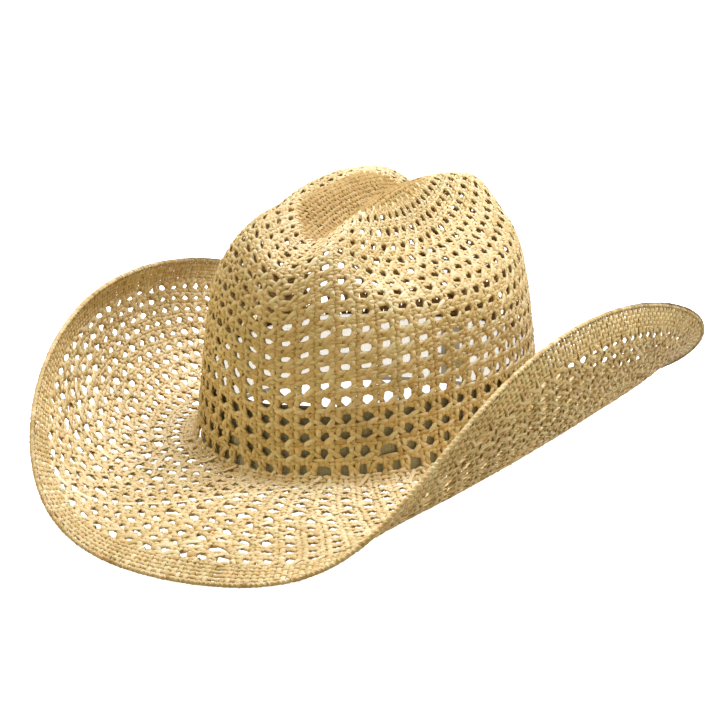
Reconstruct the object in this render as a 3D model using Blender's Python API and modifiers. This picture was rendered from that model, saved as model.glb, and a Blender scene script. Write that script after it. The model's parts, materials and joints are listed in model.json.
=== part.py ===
"""Woven straw cowboy hat: a cattleman crown, a brim rolled up at the sides, and a sweatband.

The frame stands the hat on the front and back of its brim: Z is up, -Y is the wearer's front, and
the origin is on the table, in the middle of the hat. Lengths are in metres.

Every shell follows one surface. A meridian of it runs from the middle of the crown's tip, down the
crown's wall, round the break and out along the brim. Places on a meridian are distances along it
from the break: negative up the crown, positive out along the brim. The meridian at angle 0 is the
front one, and at a quarter turn it is the one over the wearer's left ear, at +X.
"""
import math

import bpy
import numpy as np

# crown: a rounded dome on an oval base
BREAK_HEIGHT = 0.0239            # the break's front, above the table
BREAK_LIFT = 0.005               # how much higher the break is at the sides
CROWN_HALF_LENGTH = 0.103
CROWN_HALF_WIDTH = 0.086
CROWN_HEIGHT = 0.1368
CROWN_SQUARENESS = 4.59          # exponent of the dome's superellipse
TAPER_FRONT = 0.078
TAPER_SIDE = 0.185
TAPER_BACK = -0.021
BACK_LIFT = 0.0603               # how much the top climbs towards the back, per metre

# the crease along the crown's top, which opens into a shelf at the front
CREASE_X = 0.0018
CREASE_DRIFT = 0.0046            # how far it wanders sideways, per metre towards the back
CREASE_FLOOR = (0.1163, -0.0024, -2.058, -5.50)      # powers of the place along the hat
CREASE_STEEPNESS = (1.174, 0.912)                    # towards +X and towards -X
CREASE_ROUNDING = 0.0009
SHELF_START = -0.035
SHELF_REACH = 0.008
SHELF_WIDENING = 0.283
CREASE_SOFTNESS = 0.0047         # how softly the crease and the dome run into each other

# the dent in each side: x, y and height of its middle, climb backwards, rise outwards, twist
DENT_LEFT = (0.0416, -0.0473, 0.0941, 0.174, -0.307, -2.15)
DENT_RIGHT = (0.0374, -0.0033, 0.1133, 0.323, -0.457, 12.1)
DENT_CURVES_ACROSS = (1.13, 46.3)                    # outwards and inwards of its middle
DENT_CURVES_ALONG = (-0.30, 8.08)                    # behind and in front of its middle
DENT_LIMIT = 400.0               # how sharply a dent ends at the hat's middle plane
DENT_SOFTNESS = 0.0102

# rim: sine terms across, cosine terms along and up, for a half with its plane at X = 0
RIM_ACROSS = (0.147, -0.017, 0.0195, -0.005, 0.003)
RIM_ALONG = (0.0077, 0.2033, -0.002, -0.0116, -0.0057, 0.003)
RIM_RISE = (0.0272, -0.0053, -0.048, 0.0008, -0.0012, 0.0045)
BRIM_START_SLOPE = (3.0, -2.0, 6.0)      # degrees: mean, front to back, sides
BRIM_END_SLOPE = (43.0, -2.5, -76.0)
BRIM_FULLNESS = 1.12                     # how strongly the two slopes hold the brim's curve

# the weave's zones
BREAK_ROUNDING = 0.006           # where the bend between crown and brim starts, each way
TIP_HALF_LENGTH = 0.062          # the close-woven oval in the middle of the crown, seen from above
TIP_HALF_WIDTH = 0.0235
BORDER_WIDTH = 0.010             # the close-woven band round the brim
STRAW_THICKNESS = 0.0024         # two crossing strands and the rib over them
GAP = 0.0006                     # between neighbouring pieces
TIP_GAP = 0.0019                 # round the tip, where the folds draw the inner faces together

# the brim's turned edge and the wire in it
EDGE_RADIUS = 0.0017
EDGE_THICKNESS = 0.0007
EDGE_WRAP = math.radians(140)
WIRE_RADIUS = 0.0006

# the sweatband and what is sewn to it
BAND_HEIGHT = 0.036
BAND_THICKNESS = 0.0012
REED_RADIUS = 0.0011
THREAD_RADIUS = 0.0003
THREAD_DROP = 0.004              # below the band's upper edge
TAPE_HALF_WIDTH = 0.006
TAPE_THICKNESS = 0.0006
BOW_HALF_WIDTH = 0.010
BOW_HALF_HEIGHT = 0.005
BOW_THICKNESS = 0.0016
BOW_HEIGHT = 0.012               # of the bow's middle, above the band's lower edge

COLUMNS = 72                     # meridians round the hat
EDGE_ROW = 0.0005                # width of the row at a piece's edge
FINE_STEPS = 240                 # points on a meridian before it is cut into rows
ANGLES = [2 * math.pi * column / COLUMNS for column in range(COLUMNS)]


# ---------------------------------------------------------------- the hat's surface

def soft_lower(first, second, softness):
    """The lower of two heights, rounded where they cross."""
    lower = np.minimum(first, second)
    first_part = np.exp((lower - first) / softness)
    second_part = np.exp((lower - second) / softness)
    return lower - softness * np.log(first_part + second_part)


def series(terms, wave, angle):
    """The sum of a few waves round the hat."""
    return sum(term * wave(order * angle) for order, term in enumerate(terms))


def crease_height(x, y):
    """The height of the crease over level places."""
    off = x - CREASE_X - CREASE_DRIFT * y
    widening = SHELF_REACH * np.log1p(np.exp((SHELF_START - y) / SHELF_REACH))
    rounding = CREASE_ROUNDING + SHELF_WIDENING * widening
    floor = sum(term * y ** power for power, term in enumerate(CREASE_FLOOR))
    return floor + np.where(off > 0, *CREASE_STEEPNESS) * (np.sqrt(off ** 2 + rounding ** 2) - rounding)


def dent_height(x, y, dent):
    """The height of one side's dent over level places, counted outwards from the hat's middle."""
    middle_x, middle_y, floor, climb, rise, twist = dent
    across = x - middle_x
    along = y - middle_y
    bowl = (np.where(across > 0, *DENT_CURVES_ACROSS) * across ** 2
            + np.where(along > 0, *DENT_CURVES_ALONG) * along ** 2)
    slope = climb * along + rise * across + twist * across * along
    return floor + slope + bowl + DENT_LIMIT * np.minimum(x, 0.0) ** 2


def pressed(dome, x, y):
    """The dome's height after the crease and the two dents are pressed into it."""
    height = soft_lower(dome, crease_height(x, y), CREASE_SOFTNESS)
    height = soft_lower(height, dent_height(x, y, DENT_LEFT), DENT_SOFTNESS)
    return soft_lower(height, dent_height(-x, y, DENT_RIGHT), DENT_SOFTNESS)


def break_point(angle):
    """Where the crown's wall would meet the brim in a sharp corner."""
    lift = BREAK_LIFT * (1 - math.cos(2 * angle)) / 2
    x = CROWN_HALF_WIDTH * math.sin(angle)
    y = -CROWN_HALF_LENGTH * math.cos(angle)
    return np.array([x, y, BREAK_HEIGHT + lift])


def outward(angle):
    """The level direction square to the crown's oval base."""
    normal = np.array([math.sin(angle) / CROWN_HALF_WIDTH, -math.cos(angle) / CROWN_HALF_LENGTH, 0.0])
    return normal / np.linalg.norm(normal)


def crown_line(angle):
    """The crown's meridian as a fine line from the break to the middle of the tip."""
    turn = np.linspace(0.0, math.pi / 2, FINE_STEPS)
    spread = np.cos(turn).clip(0.0) ** (2 / CROWN_SQUARENESS)
    climb = np.sin(turn) ** (2 / CROWN_SQUARENESS)
    end_taper = TAPER_FRONT if math.cos(angle) > 0 else TAPER_BACK
    taper = end_taper * math.cos(angle) ** 2 + TAPER_SIDE * math.sin(angle) ** 2
    spread = spread * (1 - taper * climb)
    x = CROWN_HALF_WIDTH * math.sin(angle) * spread
    y = -CROWN_HALF_LENGTH * math.cos(angle) * spread
    z = pressed(CROWN_HEIGHT * climb + BACK_LIFT * y * climb ** 2, x, y)
    line = np.stack([x, y, z], axis=1)
    base = break_point(angle)
    blend = np.clip(1 - 4 * z / CROWN_HEIGHT, 0.0, 1.0)
    line[:, 2] += BREAK_HEIGHT + (base[2] - BREAK_HEIGHT) * blend
    line[0] = base
    return line


def rim_point(angle):
    """A point of the hat's outline, at the outer edge of the brim."""
    x = series((0.0,) + RIM_ACROSS, math.sin, angle)
    y = -series(RIM_ALONG, math.cos, angle)
    z = BREAK_HEIGHT + series(RIM_RISE, math.cos, angle)
    return np.array([x, y, z])


def brim_line(angle):
    """The brim's meridian as a fine line from the break to the rim."""
    start, end = break_point(angle), rim_point(angle)
    run = end - start
    level_run = np.array([run[0], run[1], 0.0]) / math.hypot(run[0], run[1])
    up = np.array([0.0, 0.0, 1.0])
    start_slope = math.radians(series(BRIM_START_SLOPE, math.cos, 1.0 * angle))
    end_slope = math.radians(series(BRIM_END_SLOPE, math.cos, 1.0 * angle))
    start_way = outward(angle) * math.cos(start_slope) + up * math.sin(start_slope)
    end_way = level_run * math.cos(end_slope) + up * math.sin(end_slope)
    pull = np.linalg.norm(run) * BRIM_FULLNESS
    s = np.linspace(0.0, 1.0, FINE_STEPS)[:, None]
    return ((2 * s ** 3 - 3 * s ** 2 + 1) * start + (s ** 3 - 2 * s ** 2 + s) * pull * start_way
            + (3 * s ** 2 - 2 * s ** 3) * end + (s ** 3 - s ** 2) * pull * end_way)


def lengths_along(line):
    """The distance from a line's first point to each of its points."""
    return np.concatenate([[0.0], np.cumsum(np.linalg.norm(np.diff(line, axis=0), axis=1))])


def places_on(line, distances):
    """The points at the given distances along a line."""
    lengths = lengths_along(line)
    return np.stack([np.interp(distances, lengths, line[:, axis]) for axis in range(3)], axis=1)


class Meridian:
    """One meridian of the hat, read by its distance from the break."""

    def __init__(self, angle):
        crown = crown_line(angle)
        brim = brim_line(angle)
        self.crown_length = lengths_along(crown)[-1]
        self.brim_length = lengths_along(brim)[-1]
        spread = np.hypot(crown[:, 0] / TIP_HALF_WIDTH, crown[:, 1] / TIP_HALF_LENGTH)
        self.tip_start = -np.interp(-1.0, -spread, lengths_along(crown))
        self.wall = crown
        upper = places_on(crown, np.linspace(self.crown_length, BREAK_ROUNDING, FINE_STEPS))
        outer = places_on(brim, np.linspace(BREAK_ROUNDING, self.brim_length, FINE_STEPS))
        s = np.linspace(0.0, 1.0, 16)[1:-1, None]
        bend = (1 - s) ** 2 * upper[-1] + 2 * s * (1 - s) * break_point(angle) + s ** 2 * outer[0]
        self.line = np.concatenate([upper, bend, outer])
        self.lengths = lengths_along(self.line)
        self.start = -self.crown_length

    def points(self, distances):
        """Points on the surface, the bend between crown and brim being a little shorter than the corner."""
        true_length = self.lengths[-1]
        nominal_length = self.crown_length + self.brim_length
        scaled = (np.asarray(distances) - self.start) * true_length / nominal_length
        return np.stack([np.interp(scaled, self.lengths, self.line[:, axis]) for axis in range(3)], axis=1)


MERIDIANS = [Meridian(angle) for angle in ANGLES]


def strip(start_of, end_of, rows, pole=False):
    """A grid of points between two distances that may differ from meridian to meridian.

    A short row at each edge gives the edge the same slope as the neighbouring piece's.
    """
    columns = []
    for m in MERIDIANS:
        start, end = start_of(m), end_of(m)
        even = np.linspace(start, end, rows + 1)
        first = [start] if pole else [start, start + EDGE_ROW]
        columns.append(m.points([*first, *even[1:-1], end - EDGE_ROW, end]))
    return np.stack(columns, axis=1)


# ---------------------------------------------------------------- Blender objects

def clear_scene():
    """Remove every object that is in the file."""
    for obj in list(bpy.data.objects):
        bpy.data.objects.remove(obj, do_unlink=True)


def material(name, color, roughness):
    """A plain Principled BSDF."""
    mat = bpy.data.materials.new(name)
    mat.use_nodes = True
    shader = mat.node_tree.nodes["Principled BSDF"]
    shader.inputs["Base Color"].default_value = (*color, 1.0)
    shader.inputs["Roughness"].default_value = roughness
    shader.inputs["Metallic"].default_value = 0.0
    return mat


def add_object(collection, name, data, mat):
    """Put a mesh or curve in the hat's collection."""
    data.materials.append(mat)
    obj = bpy.data.objects.new(name, data)
    collection.objects.link(obj)
    return obj


def sheet(collection, name, grid, thickness, mat, closed=True, pole=False):
    """An open surface through a grid of points, thickened inwards with Solidify."""
    rows, columns = grid.shape[:2]
    last_column = columns if closed else columns - 1
    vertices = [tuple(point) for point in grid.reshape(-1, 3)]
    faces = []
    first_row = 1 if pole else 0
    for row in range(first_row, rows - 1):
        for column in range(last_column):
            after = (column + 1) % columns
            faces.append((row * columns + column, (row + 1) * columns + column,
                          (row + 1) * columns + after, row * columns + after))
    if pole:
        vertices = vertices[columns:]
        faces = [tuple(index - columns for index in face) for face in faces]
        vertices.append(tuple(grid[0].mean(axis=0)))
        centre = len(vertices) - 1
        faces += [(centre, column, (column + 1) % columns) for column in range(columns)]
    mesh = bpy.data.meshes.new(name)
    mesh.from_pydata(vertices, [], faces)
    mesh.shade_smooth()
    obj = add_object(collection, name, mesh, mat)
    solidify = obj.modifiers.new("thickness", "SOLIDIFY")
    solidify.thickness = thickness
    solidify.offset = -1.0
    return obj


def tube(collection, name, points, radius, mat):
    """A closed ring of round wire, thread or piping."""
    curve = bpy.data.curves.new(name, "CURVE")
    curve.dimensions = "3D"
    curve.bevel_depth = radius
    curve.bevel_resolution = 1
    spline = curve.splines.new("POLY")
    spline.points.add(len(points) - 1)
    for spline_point, point in zip(spline.points, points):
        spline_point.co = (*point, 1.0)
    spline.use_cyclic_u = True
    return add_object(collection, name, curve, mat)


# ---------------------------------------------------------------- the pieces

def tip_edge(m):
    """Where the close-woven tip gives way to the open crown."""
    return m.tip_start


def border_start(m):
    """Where the brim's close-woven band begins."""
    return m.brim_length - 2 * EDGE_RADIUS - BORDER_WIDTH


def border_end(m):
    """Where the band meets the turned edge."""
    return m.brim_length - 2 * EDGE_RADIUS - GAP


def make_straw_shells(collection):
    """The crown's tip and wall, the brim and its band, one after the other along the meridians."""
    straw = {name: material(name, color, 0.6) for name, color in (
        ("tip_straw", (0.80, 0.62, 0.34)), ("crown_straw", (0.74, 0.56, 0.30)),
        ("brim_straw", (0.78, 0.62, 0.37)), ("border_straw", (0.80, 0.65, 0.40)))}
    half = GAP / 2
    tip = strip(lambda m: -m.crown_length, lambda m: tip_edge(m) - TIP_GAP / 2, 7, pole=True)
    sheet(collection, "crown_tip", tip, STRAW_THICKNESS, straw["tip_straw"], pole=True)
    wall = strip(lambda m: tip_edge(m) + TIP_GAP / 2, lambda m: -BREAK_ROUNDING - half, 15)
    sheet(collection, "crown_side", wall, STRAW_THICKNESS, straw["crown_straw"])
    brim = strip(lambda m: -BREAK_ROUNDING + half, lambda m: border_start(m) - half, 9)
    sheet(collection, "brim", brim, STRAW_THICKNESS, straw["brim_straw"])
    border = strip(lambda m: border_start(m) + half, border_end, 1)
    sheet(collection, "brim_border", border, STRAW_THICKNESS, straw["border_straw"])


def edge_frames():
    """For each meridian, the middle of the turned edge, and the ways outwards and up from it."""
    frames = []
    for m in MERIDIANS:
        inner, outer = m.points([m.brim_length - 2 * EDGE_RADIUS, m.brim_length])
        frames.append([inner, outer])
    inner = np.array([frame[0] for frame in frames])
    outer = np.array([frame[1] for frame in frames])
    out = outer - inner
    out /= np.linalg.norm(out, axis=1)[:, None]
    along = np.roll(outer, -1, axis=0) - np.roll(outer, 1, axis=0)
    up = np.cross(out, along)
    up /= np.linalg.norm(up, axis=1)[:, None]
    middle = outer - out * EDGE_RADIUS - up * STRAW_THICKNESS / 2
    return middle, out, up


def make_brim_edge(collection):
    """The straw turned round the rim, open towards the hat, and the wire that it holds."""
    middle, out, up = edge_frames()
    turns = np.linspace(EDGE_WRAP, -EDGE_WRAP, 8)
    grid = np.stack([middle + EDGE_RADIUS * (math.cos(turn) * out + math.sin(turn) * up) for turn in turns])
    sheet(collection, "brim_edge", grid, EDGE_THICKNESS, material("edge_straw", (0.76, 0.60, 0.36), 0.6))
    tube(collection, "brim_wire", middle, WIRE_RADIUS, material("wire_steel", (0.45, 0.45, 0.46), 0.4))


def inside_wall(angles, height, depth):
    """A ring inside the crown's wall: at a height above the break and a depth in from the straw's face."""
    points = []
    for angle in angles:
        wall = crown_line(angle)
        point, above = places_on(wall, [height, height + 0.004])
        climb = (above - point) / np.linalg.norm(above - point)
        around = np.cross(outward(angle), climb)
        inward = np.cross(climb, around)
        points.append(point - depth * inward / np.linalg.norm(inward) * np.sign(inward @ outward(angle)))
    return np.array(points)


def make_sweatband(collection):
    """The band that the head touches, the reed piped along its foot and the thread that holds it."""
    face = STRAW_THICKNESS + GAP
    heights = [BAND_HEIGHT, BAND_HEIGHT / 2, 0.0]
    grid = np.stack([inside_wall(ANGLES, height, face) for height in heights])
    sheet(collection, "sweatband", grid, BAND_THICKNESS, material("band_cloth", (0.42, 0.41, 0.33), 0.8))
    foot = inside_wall(ANGLES, 0.0, face + BAND_THICKNESS / 2) - [0, 0, REED_RADIUS + GAP]
    tube(collection, "sweatband_reed", foot, REED_RADIUS, material("reed_cloth", (0.36, 0.35, 0.28), 0.7))
    seam_depth = face + BAND_THICKNESS + THREAD_RADIUS + GAP
    seam = inside_wall(ANGLES, BAND_HEIGHT - THREAD_DROP, seam_depth)
    tube(collection, "sweatband_thread", seam, THREAD_RADIUS, material("thread", (0.72, 0.66, 0.50), 0.7))


def make_back_trim(collection):
    """The tape over the band's join, at the back, and the small bow sewn on it."""
    face = STRAW_THICKNESS + GAP + BAND_THICKNESS + GAP
    half_turn = TAPE_HALF_WIDTH / CROWN_HALF_WIDTH
    angles = [math.pi + half_turn * (step / 2 - 1) for step in range(5)]
    top = BAND_HEIGHT - THREAD_DROP - 2 * THREAD_RADIUS - GAP
    grid = np.stack([inside_wall(angles, height, face) for height in (top, top / 2, 0.001)])
    sheet(collection, "sweatband_tape", grid, TAPE_THICKNESS, material("tape_cloth", (0.20, 0.19, 0.15), 0.8),
          closed=False)
    outline = [(0, 0.12), (0.25, 0.45), (1, 1), (0.9, 0), (1, -1), (0.25, -0.45), (0, -0.12),
               (-0.25, -0.45), (-1, -1), (-0.9, 0), (-1, 1), (-0.25, 0.45)]
    curve = bpy.data.curves.new("sweatband_bow", "CURVE")
    curve.dimensions = "2D"
    curve.fill_mode = "BOTH"
    curve.extrude = BOW_THICKNESS / 2
    spline = curve.splines.new("POLY")
    spline.points.add(len(outline) - 1)
    for spline_point, (across, up) in zip(spline.points, outline):
        spline_point.co = (across * BOW_HALF_WIDTH, up * BOW_HALF_HEIGHT, 0.0, 1.0)
    spline.use_cyclic_u = True
    bow = add_object(collection, "sweatband_bow", curve, material("bow_ribbon", (0.12, 0.11, 0.09), 0.5))
    place = inside_wall([math.pi], BOW_HEIGHT, face + TAPE_THICKNESS + BOW_THICKNESS)[0]
    bow.location = place
    bow.rotation_euler = (math.pi / 2, 0.0, 0.0)


def main():
    clear_scene()
    collection = bpy.data.collections.new("cowboy_hat")
    bpy.context.scene.collection.children.link(collection)
    make_straw_shells(collection)
    make_brim_edge(collection)
    make_sweatband(collection)
    make_back_trim(collection)


main()
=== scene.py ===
"""The straw cowboy hat's looks: every strand of its weave, the turned edge and the sewn-in sweatband.

The straw follows the same surface as the solids in the frame. A place on it is given by a turn round
the hat, from 0 at the front to 1, and a row counted from the close-woven tip out to the rim.
"""
import json
import math
from collections import namedtuple

import bmesh
import bpy
import numpy as np
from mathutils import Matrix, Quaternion, Vector


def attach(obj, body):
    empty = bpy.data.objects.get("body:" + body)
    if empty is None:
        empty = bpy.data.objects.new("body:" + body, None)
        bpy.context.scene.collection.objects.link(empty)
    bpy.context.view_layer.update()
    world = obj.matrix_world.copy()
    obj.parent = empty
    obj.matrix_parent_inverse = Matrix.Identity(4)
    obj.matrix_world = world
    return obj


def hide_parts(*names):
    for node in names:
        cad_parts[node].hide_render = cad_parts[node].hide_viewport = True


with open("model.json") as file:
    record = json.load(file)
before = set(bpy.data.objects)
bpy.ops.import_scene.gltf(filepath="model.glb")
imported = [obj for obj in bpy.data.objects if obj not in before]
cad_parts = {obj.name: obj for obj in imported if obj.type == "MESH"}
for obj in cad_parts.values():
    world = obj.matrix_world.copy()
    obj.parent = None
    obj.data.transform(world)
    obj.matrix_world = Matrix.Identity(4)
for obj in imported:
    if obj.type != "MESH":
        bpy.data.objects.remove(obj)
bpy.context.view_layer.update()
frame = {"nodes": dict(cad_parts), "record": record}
BREAK_HEIGHT = frame["record"]["mounts"][0]["pos_m"][2]
RANDOM = np.random.default_rng(7)

# the hat's surface: the same sizes as the solids
BREAK_LIFT = 0.005
CROWN_HALF_LENGTH = 0.103
CROWN_HALF_WIDTH = 0.086
CROWN_HEIGHT = 0.1368
CROWN_SQUARENESS = 4.59
TAPER_FRONT = 0.078
TAPER_SIDE = 0.185
TAPER_BACK = -0.021
BACK_LIFT = 0.0603
CREASE_X = 0.0018
CREASE_DRIFT = 0.0046
CREASE_FLOOR = (0.1163, -0.0024, -2.058, -5.50)
CREASE_STEEPNESS = (1.174, 0.912)
CREASE_ROUNDING = 0.0009
SHELF_START = -0.035
SHELF_REACH = 0.008
SHELF_WIDENING = 0.283
CREASE_SOFTNESS = 0.0047
DENT_LEFT = (0.0416, -0.0473, 0.0941, 0.174, -0.307, -2.15)
DENT_RIGHT = (0.0374, -0.0033, 0.1133, 0.323, -0.457, 12.1)
DENT_CURVES_ACROSS = (1.13, 46.3)
DENT_CURVES_ALONG = (-0.30, 8.08)
DENT_LIMIT = 400.0
DENT_SOFTNESS = 0.0102
RIM_ACROSS = (0.147, -0.017, 0.0195, -0.005, 0.003)
RIM_ALONG = (0.0077, 0.2033, -0.002, -0.0116, -0.0057, 0.003)
RIM_RISE = (0.0272, -0.0053, -0.048, 0.0008, -0.0012, 0.0045)
BRIM_START_SLOPE = (3.0, -2.0, 6.0)
BRIM_END_SLOPE = (43.0, -2.5, -76.0)
BRIM_FULLNESS = 1.12
BREAK_ROUNDING = 0.006
TIP_HALF_LENGTH = 0.062
TIP_HALF_WIDTH = 0.0235
BORDER_WIDTH = 0.010
STRAW_THICKNESS = 0.0024
EDGE_RADIUS = 0.0017
BAND_HEIGHT = 0.036
BAND_THICKNESS = 0.0012
GAP = 0.0006

# straw tones from a strand's darkest to its palest, and each part's tint; the tip's darker, more golden tint
# is painted shade
STRAW_TONES = ((0.0, (0.46, 0.30, 0.10)), (0.25, (0.64, 0.47, 0.19)), (0.5, (0.75, 0.59, 0.28)),
               (0.75, (0.82, 0.68, 0.37)), (1.0, (0.90, 0.79, 0.50)))
STRAW_TINTS = {"crown": (1.0, 1.0, 1.0), "brim": (1.0, 1.0, 1.0), "border": (1.0, 1.0, 1.0),
               "edge": (1.0, 1.0, 1.0), "tip": (0.70, 0.60, 0.40)}
STRAW_INSIDE_SHADES = {"crown": (0.50, 0.38, 0.22), "tip": (0.50, 0.38, 0.22)}     # painted shade on the strands' inner faces inside the crown and tip
# each cloth's name, light and dark colour, thread size and roughness
CLOTHS = {"band": ("sweatband_twill", (0.66, 0.65, 0.50), (0.54, 0.53, 0.40), 0.0007, 0.85),
          "piping": ("piping_cotton", (0.86, 0.83, 0.72), (0.76, 0.72, 0.58), 0.0006, 0.8),
          "tape": ("join_ribbon", (0.92, 0.90, 0.83), (0.84, 0.81, 0.72), 0.0006, 0.6)}

# the studio
CAMERA_PLACE = (0.5452, -1.0655, 0.3724)
CAMERA_AIM = (-0.0102, 0.0086, 0.0557)
CAMERA_LENS = 119.7
CAMERA_ROLL = math.radians(-0.84)
FLOOR_SIZE = 12.0
FLOOR_DROP = 0.0008              # how far the floor lies under the solids' lowest point
FLOOR_GLOW = 1.0
WORLD_COLOR = (1.0, 0.79, 0.40)
WORLD_LIGHT = 0.30
LIGHTS = (("overhead", (0.15, 0.35, 1.8), (0.0, 0.0, 0.06), 1.1, 52.0, (0.93, 0.96, 1.20)),
          ("fill_right", (1.5, 0.1, 0.0), (0.1, 0.0, 0.05), 1.0, 14.0, (1.0, 0.93, 0.72)),
          ("fill_left", (-1.3, -1.0, 0.5), (0.0, 0.0, 0.05), 1.0, 9.5, (1.0, 0.85, 0.54)))

# the weave: rows are counted from the tip's edge, with a row of holes half way between whole rows
CROWN_ROWS = 17
BRIM_ROWS = 11
BORDER_ROWS = 2
BRIM_FIRST = 0.104               # where the brim's rows of holes lie, as shares of its open width
BRIM_STEP = 0.1035
BRIM_NARROWING = 0.0018
CROWN_POSTS = 56                 # columns of holes round the crown
LAST_CROWN_POSTS = 62
FIRST_BRIM_POSTS = 74
RIM_POSTS = 98
FRONT_PHASE = 0.6                # where the front's first hole lies, in columns
MIDDLE_DEPTH = STRAW_THICKNESS / 2
SLANT_WIDTH = 0.0024
RIB_WIDTH = 0.0025
WEFT_WIDTH = 0.0021
STRAND_THICKNESS = 0.00095
FULL_PITCH = 0.0100              # the strands are squeezed narrower where the columns are closer than this
RIB_OFFSET = 0.15                # the two ribs of a post lie this far to its sides, in columns
HOLE_HEIGHTS = ((0.0, 9.0, 12.0), (0.0030, 0.0032, 0.0043))     # by row
WEFT_PITCH = 0.0018              # between the wefts that fill the straw between two rows of holes
LIFT = 0.00052                   # how far a strand rises over the one that it crosses
CENTRE_LIFT = 0.00030            # and where two slanting strands cross each other
PAINTED_DIP_SHADE = 0.16               # painted shade and light: how much darker a strand is painted where it dips under another, and paler where it lies on top
BULGE = 0.14                     # how much wider a strand is where it lies on top
JITTER = 0.00032                 # how far a crossing strays from its even place
LAST_ROW = CROWN_ROWS + BRIM_ROWS
RIM_ROW = LAST_ROW + BORDER_ROWS
STRANDS_PER_PIECE = 14
ROUND_ROWS = (28.08, 28.40, 28.72, 29.04, 29.36)      # the border's rounds
ROUND_LIFT = 0.00048
ROUND_WIDTH = 0.0020
SWEAT_DEPTH = STRAW_THICKNESS + GAP
CORD_RIBS = 430                  # the sweatband's woven ribs
CORD_HEIGHT = 0.00012
REED_RADIUS = 0.0011
THREAD_RADIUS = 0.0003
THREAD_DROP = 0.004
LINING_COLOR = (0.95, 0.94, 0.90)           # the sweatband's face towards the head
LINING_GLOW = 0.62               # light the lining gives off itself, to read white through the holes
STITCHES = 150
STITCH_SHARE = 0.72              # how much of a stitch's pitch its thread covers
TAPE_HALF_WIDTH = 0.006
TAPE_THICKNESS = 0.0006
BOW_HEIGHT = 0.012
TIP_PITCH = 0.0027
TIP_LIFT = 0.00028
TIP_STRAND_WIDTH = 0.00255
EDGE_WRAPS = 460
EDGE_WRAP = math.radians(150)
EDGE_SUNK = 0.0007               # how far the wraps are drawn in under the edge's full radius
EDGE_SLANT = 1.2                 # how far a wrap slants from its top to its foot, in wraps
EDGE_WRAP_WIDTH = 0.0033
EDGE_ROWS = 2 * EDGE_RADIUS / (BORDER_WIDTH + 2 * EDGE_RADIUS) * BORDER_ROWS
# a strand's outline, in widths and thicknesses
SECTION = ((-0.5, -0.16), (-0.3, 0.27), (-0.04, 0.5), (0.27, 0.34), (0.5, -0.12), (0.0, -0.38))
UNDERSIDE = 0.66                 # the share of the way round a strand at which its lower face starts, where the painted inside shade begins
# how a strand wanders: the rings between changes, and the size of a change
ROLL_WANDER = (5, 0.20)
WIDTH_WANDER = (4, 0.10)
DEPTH_WANDER = (4, 0.12)
TONE_WANDER = (6, 0.14)
STRAND_TONE = (0.5, 0.17)        # the mean of the strands' tones, and their spread
TIP_TONE = (0.5, 0.12)
EDGE_TONE = (0.5, 0.2)
SETTLE_ROUNDS = 1500
SAME_ROW = 0.02                  # rows closer than this count as one
FIRST_SLANT_REACH = 0.30         # how far the strands start before their first crossing, in rows
FIRST_RIB_REACH = 0.8
LATER_RIB_REACH = 0.42
BORDER_REACH = 0.32              # how far the strands run on past the border's last round, in rows
TIP_EDGE_ROW = 0.22              # the row where the tip's strands are cut off
TIP_MARGIN = 0.01
TIP_JITTER = 0.00012
NORMAL_STEP = 0.0004
EDGE_WRAP_THICKNESS = 0.40 * STRAND_THICKNESS
EDGE_UNEVENNESS = 0.3            # how much of the usual wander a wrap has
EDGE_TURN_JITTER = 0.12          # in wraps
EDGE_JITTER = 0.00006
EDGE_TUCK = 0.0004               # how far a wrap's two ends are drawn in
HEM_WIDTH = 0.0011               # the groove that the stitches draw into the band
HEM_DEPTH = 0.28                 # of the band's thickness
BOW_RIBBON_THICKNESS = 0.00035
# the bow's ribbons, as places across, up and out from the wall
BOW_LOOP = ((0, 0, 0.0004), (0.004, 0.0006, 0.0016), (0.0085, 0.001, 0.0012), (0.0096, 0.001, 0.0004),
            (0.0085, 0.0008, -0.0002), (0.004, 0.0003, 0.0), (0, 0, 0.0))
BOW_TAIL = ((0, -0.0003, 0.0002), (0.003, -0.0016, 0.0005), (0.0062, -0.0034, 0.0),
            (0.0078, -0.0042, 0.0003))
BOW_KNOT = ((0.0011, 0, 0.0), (0.0011, 0, 0.0012), (0.0, 0, 0.002), (-0.0011, 0, 0.0012), (-0.0011, 0, 0.0))
BOW_WIDTHS = (0.0042, 0.0034, 0.0036)       # of the loops, the tails and the knot


# ---------------------------------------------------------------- the hat's surface

def soft_lower(first, second, softness):
    """The lower of two heights, rounded where they cross."""
    lower = np.minimum(first, second)
    first_part = np.exp((lower - first) / softness)
    second_part = np.exp((lower - second) / softness)
    return lower - softness * np.log(first_part + second_part)


def series(terms, wave, angle):
    """The sum of a few waves round the hat."""
    return sum(term * wave(order * angle) for order, term in enumerate(terms))


def crown_taper(angle):
    """How much the crown narrows towards its top, at an angle round it."""
    end_taper = np.where(np.cos(angle) > 0, TAPER_FRONT, TAPER_BACK)
    return end_taper * np.cos(angle) ** 2 + TAPER_SIDE * np.sin(angle) ** 2


def crease_height(x, y):
    """The height of the crease over level places."""
    off = x - CREASE_X - CREASE_DRIFT * y
    widening = SHELF_REACH * np.log1p(np.exp((SHELF_START - y) / SHELF_REACH))
    rounding = CREASE_ROUNDING + SHELF_WIDENING * widening
    floor = sum(term * y ** power for power, term in enumerate(CREASE_FLOOR))
    return floor + np.where(off > 0, *CREASE_STEEPNESS) * (np.sqrt(off ** 2 + rounding ** 2) - rounding)


def dent_height(x, y, dent):
    """The height of one side's dent over level places, counted outwards from the hat's middle."""
    middle_x, middle_y, floor, climb, rise, twist = dent
    across = x - middle_x
    along = y - middle_y
    bowl = (np.where(across > 0, *DENT_CURVES_ACROSS) * across ** 2
            + np.where(along > 0, *DENT_CURVES_ALONG) * along ** 2)
    slope = climb * along + rise * across + twist * across * along
    return floor + slope + bowl + DENT_LIMIT * np.minimum(x, 0.0) ** 2


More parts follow.
